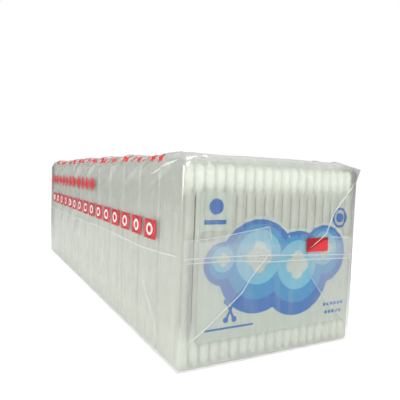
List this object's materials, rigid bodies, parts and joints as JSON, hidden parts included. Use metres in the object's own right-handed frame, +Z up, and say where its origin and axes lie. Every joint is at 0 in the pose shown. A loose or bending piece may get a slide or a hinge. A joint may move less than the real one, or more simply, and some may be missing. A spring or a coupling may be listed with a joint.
{
  "type": "wrapped pack of cotton swab bags",
  "caption": "Long soft pack of clear bags of upright cotton swabs, one behind another, in one clear outer wrap with folded, sealed ends and plain printed shapes.",
  "frame": {"origin": "middle of the underside of the pack", "axes": "+Z up, along the swabs; +Y from the front end to the back end; +X to the right seen from the front"},
  "size_m": [0.0857, 0.2614, 0.0778],
  "materials": {
    "outer_film": "clear glossy film with fine folds",
    "bag_film": "clear soft film",
    "stick": "plain matt stick",
    "cotton": "soft wound cotton",
    "red_ink": "printed on film",
    "white_ink": "printed on film",
    "deep_blue_ink": "printed on film",
    "mid_blue_ink": "printed on film",
    "pale_blue_ink": "printed on film"
  },
  "bodies": {
    "root": {"outer_wrap": "outer_film", "red_print": "red_ink", "white_backing": "white_ink", "deep_blue_print": "deep_blue_ink", "mid_blue_print": "mid_blue_ink", "pale_blue_print": "pale_blue_ink", "white_motifs": "white_ink", "bag_film_01": "bag_film", "bag_film_02": "bag_film", "bag_film_03": "bag_film", "bag_film_04": "bag_film", "bag_film_05": "bag_film", "bag_film_06": "bag_film", "bag_film_07": "bag_film", "bag_film_08": "bag_film", "bag_film_09": "bag_film", "bag_film_10": "bag_film", "bag_film_11": "bag_film", "bag_film_12": "bag_film", "swab_sticks_01": "stick", "swab_sticks_02": "stick", "swab_sticks_03": "stick", "swab_sticks_04": "stick", "swab_sticks_05": "stick", "swab_sticks_06": "stick", "swab_sticks_07": "stick", "swab_sticks_08": "stick", "swab_sticks_09": "stick", "swab_sticks_10": "stick", "swab_sticks_11": "stick", "swab_sticks_12": "stick", "bottom_cotton_01": "cotton", "bottom_cotton_02": "cotton", "bottom_cotton_03": "cotton", "bottom_cotton_04": "cotton", "bottom_cotton_05": "cotton", "bottom_cotton_06": "cotton", "bottom_cotton_07": "cotton", "bottom_cotton_08": "cotton", "bottom_cotton_09": "cotton", "bottom_cotton_10": "cotton", "bottom_cotton_11": "cotton", "bottom_cotton_12": "cotton", "top_cotton_01": "cotton", "top_cotton_02": "cotton", "top_cotton_03": "cotton", "top_cotton_04": "cotton", "top_cotton_05": "cotton", "top_cotton_06": "cotton", "top_cotton_07": "cotton", "top_cotton_08": "cotton", "top_cotton_09": "cotton", "top_cotton_10": "cotton", "top_cotton_11": "cotton", "top_cotton_12": "cotton"}
  },
  "joints": []
}
